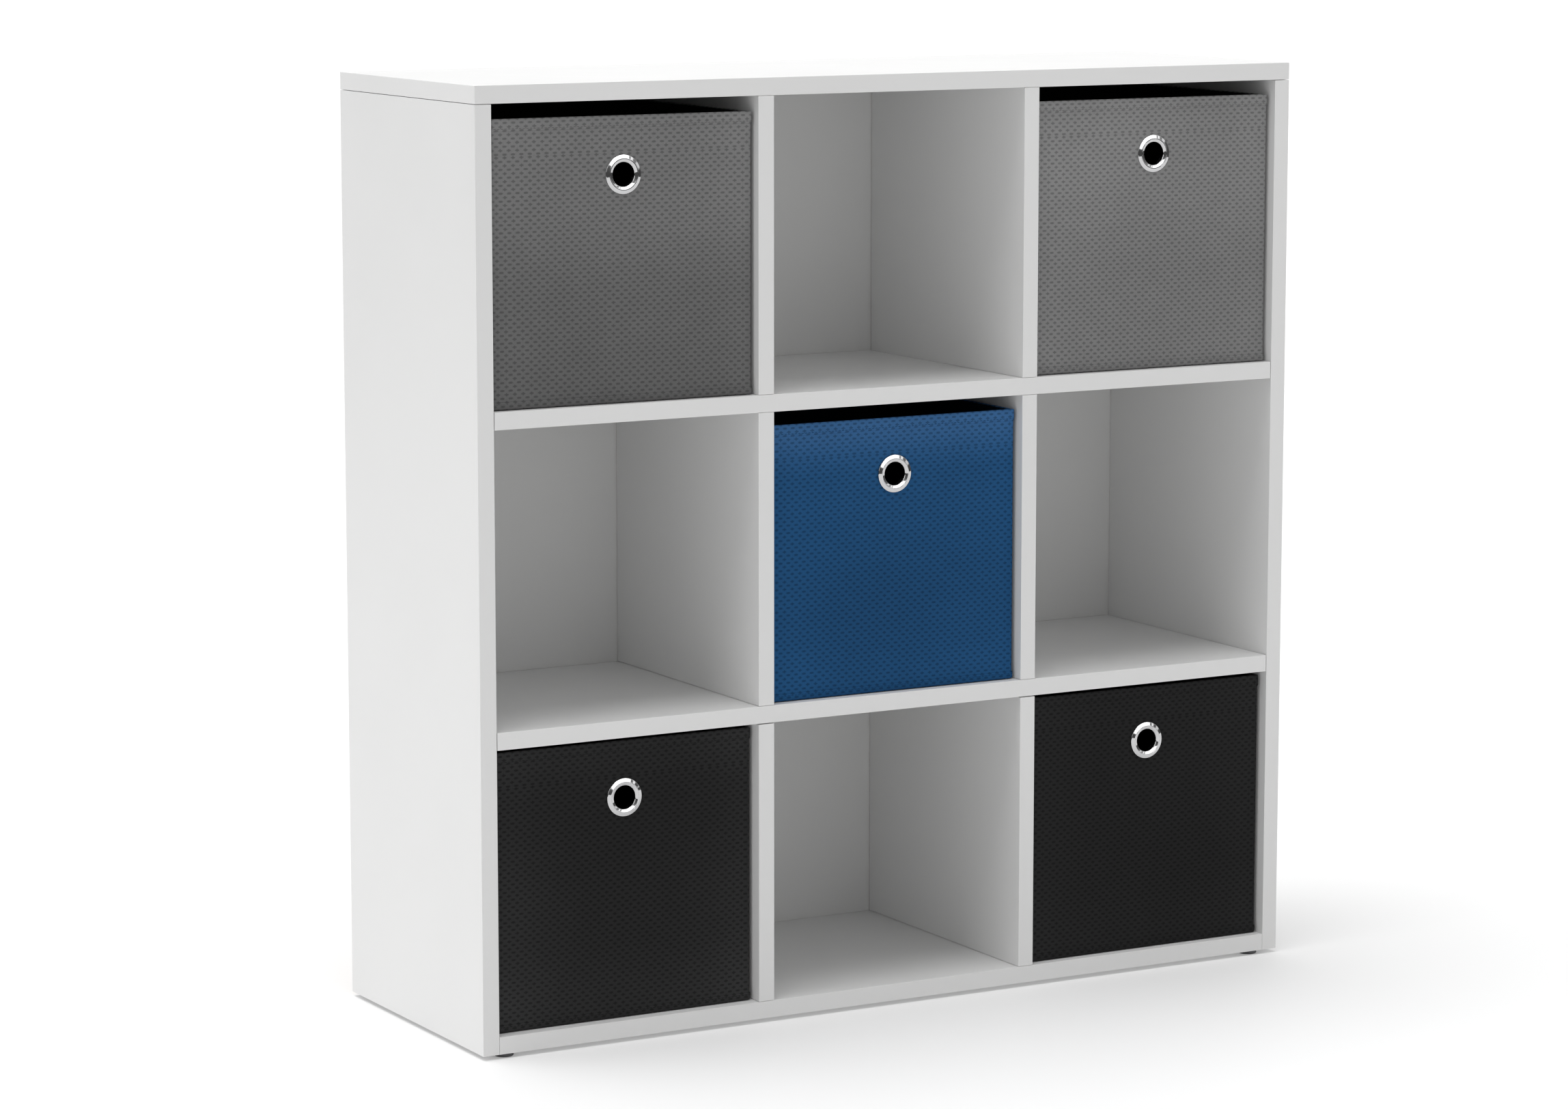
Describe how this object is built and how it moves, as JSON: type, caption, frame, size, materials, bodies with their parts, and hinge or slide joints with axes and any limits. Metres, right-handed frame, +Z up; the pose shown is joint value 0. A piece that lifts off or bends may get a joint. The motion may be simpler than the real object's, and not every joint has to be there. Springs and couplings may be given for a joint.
{
  "type": "cube storage unit",
  "caption": "Open-fronted cube shelving unit on low glides, with square cells and fabric boxes that slide out by a round finger eyelet.",
  "frame": {"origin": "on the floor, under the middle of the carcass", "axes": "+X to the right seen from the front, -Y out of the open front, +Z up"},
  "size_m": [0.972, 0.318, 0.9795],
  "materials": {
    "melamine_white": "white melamine board with matching edge band, satin",
    "back_board": "thin hardboard, white inside and brown behind",
    "foot_plastic": "dark moulded plastic",
    "cam_zinc": "die-cast zinc",
    "bolt_steel": "plated steel",
    "dowel_beech": "bare beech",
    "fabric_grey": "embossed non-woven fabric over stiff board, matt",
    "fabric_blue": "embossed non-woven fabric over stiff board, matt",
    "fabric_black": "embossed non-woven fabric over stiff board, matt",
    "insert_board": "stiff board covered with black non-woven fabric",
    "eyelet_metal": "bright plated steel"
  },
  "bodies": {
    "carcass": {"top_panel": "melamine_white", "left_side_panel": "melamine_white", "right_side_panel": "melamine_white", "bottom_panel": "melamine_white", "upper_shelf": "melamine_white", "lower_shelf": "melamine_white", "tall_divider_left": "melamine_white", "tall_divider_right": "melamine_white", "short_divider_left": "melamine_white", "short_divider_right": "melamine_white", "back_panel": "back_board", "foot_front_left": "foot_plastic", "foot_front_right": "foot_plastic", "foot_rear_left": "foot_plastic", "foot_rear_right": "foot_plastic", "cam_bolt_top_front_left": "bolt_steel", "dowel_top_front_left": "dowel_beech", "cam_top_front_left": "cam_zinc", "cam_bolt_top_front_right": "bolt_steel", "dowel_top_front_right": "dowel_beech", "cam_top_front_right": "cam_zinc", "cam_bolt_top_rear_left": "bolt_steel", "dowel_top_rear_left": "dowel_beech", "cam_top_rear_left": "cam_zinc", "cam_bolt_top_rear_right": "bolt_steel", "dowel_top_rear_right": "dowel_beech", "cam_top_rear_right": "cam_zinc", "cam_bolt_bottom_front_left": "bolt_steel", "dowel_bottom_front_left": "dowel_beech", "cam_bottom_front_left": "cam_zinc", "cam_bolt_bottom_front_right": "bolt_steel", "dowel_bottom_front_right": "dowel_beech", "cam_bottom_front_right": "cam_zinc", "cam_bolt_bottom_rear_left": "bolt_steel", "dowel_bottom_rear_left": "dowel_beech", "cam_bottom_rear_left": "cam_zinc", "cam_bolt_bottom_rear_right": "bolt_steel", "dowel_bottom_rear_right": "dowel_beech", "cam_bottom_rear_right": "cam_zinc"},
    "box_top_left": {"box_top_left_shell": "fabric_grey", "box_top_left_eyelet_ring": "eyelet_metal", "box_top_left_eyelet_washer": "eyelet_metal"},
    "box_top_left_insert": {"box_top_left_base_insert": "insert_board"},
    "box_top_right": {"box_top_right_shell": "fabric_grey", "box_top_right_eyelet_ring": "eyelet_metal", "box_top_right_eyelet_washer": "eyelet_metal"},
    "box_top_right_insert": {"box_top_right_base_insert": "insert_board"},
    "box_centre": {"box_centre_shell": "fabric_blue", "box_centre_eyelet_ring": "eyelet_metal", "box_centre_eyelet_washer": "eyelet_metal"},
    "box_centre_insert": {"box_centre_base_insert": "insert_board"},
    "box_bottom_left": {"box_bottom_left_shell": "fabric_black", "box_bottom_left_eyelet_ring": "eyelet_metal", "box_bottom_left_eyelet_washer": "eyelet_metal"},
    "box_bottom_left_insert": {"box_bottom_left_base_insert": "insert_board"},
    "box_bottom_right": {"box_bottom_right_shell": "fabric_black", "box_bottom_right_eyelet_ring": "eyelet_metal", "box_bottom_right_eyelet_washer": "eyelet_metal"},
    "box_bottom_right_insert": {"box_bottom_right_base_insert": "insert_board"}
  },
  "joints": [
    {"name": "box_top_left_slide", "type": "slide", "parent": "carcass", "child": "box_top_left", "axis": [0, -1, 0], "range_m": [0, 0.31]},
    {"name": "box_top_left_insert_lift", "type": "slide", "parent": "box_top_left", "child": "box_top_left_insert", "axis": [0, 0, 1], "range_m": [0, 0.28]},
    {"name": "box_top_right_slide", "type": "slide", "parent": "carcass", "child": "box_top_right", "axis": [0, -1, 0], "range_m": [0, 0.31]},
    {"name": "box_top_right_insert_lift", "type": "slide", "parent": "box_top_right", "child": "box_top_right_insert", "axis": [0, 0, 1], "range_m": [0, 0.28]},
    {"name": "box_centre_slide", "type": "slide", "parent": "carcass", "child": "box_centre", "axis": [0, -1, 0], "range_m": [0, 0.31]},
    {"name": "box_centre_insert_lift", "type": "slide", "parent": "box_centre", "child": "box_centre_insert", "axis": [0, 0, 1], "range_m": [0, 0.28]},
    {"name": "box_bottom_left_slide", "type": "slide", "parent": "carcass", "child": "box_bottom_left", "axis": [0, -1, 0], "range_m": [0, 0.31]},
    {"name": "box_bottom_left_insert_lift", "type": "slide", "parent": "box_bottom_left", "child": "box_bottom_left_insert", "axis": [0, 0, 1], "range_m": [0, 0.28]},
    {"name": "box_bottom_right_slide", "type": "slide", "parent": "carcass", "child": "box_bottom_right", "axis": [0, -1, 0], "range_m": [0, 0.31]},
    {"name": "box_bottom_right_insert_lift", "type": "slide", "parent": "box_bottom_right", "child": "box_bottom_right_insert", "axis": [0, 0, 1], "range_m": [0, 0.28]}
  ]
}
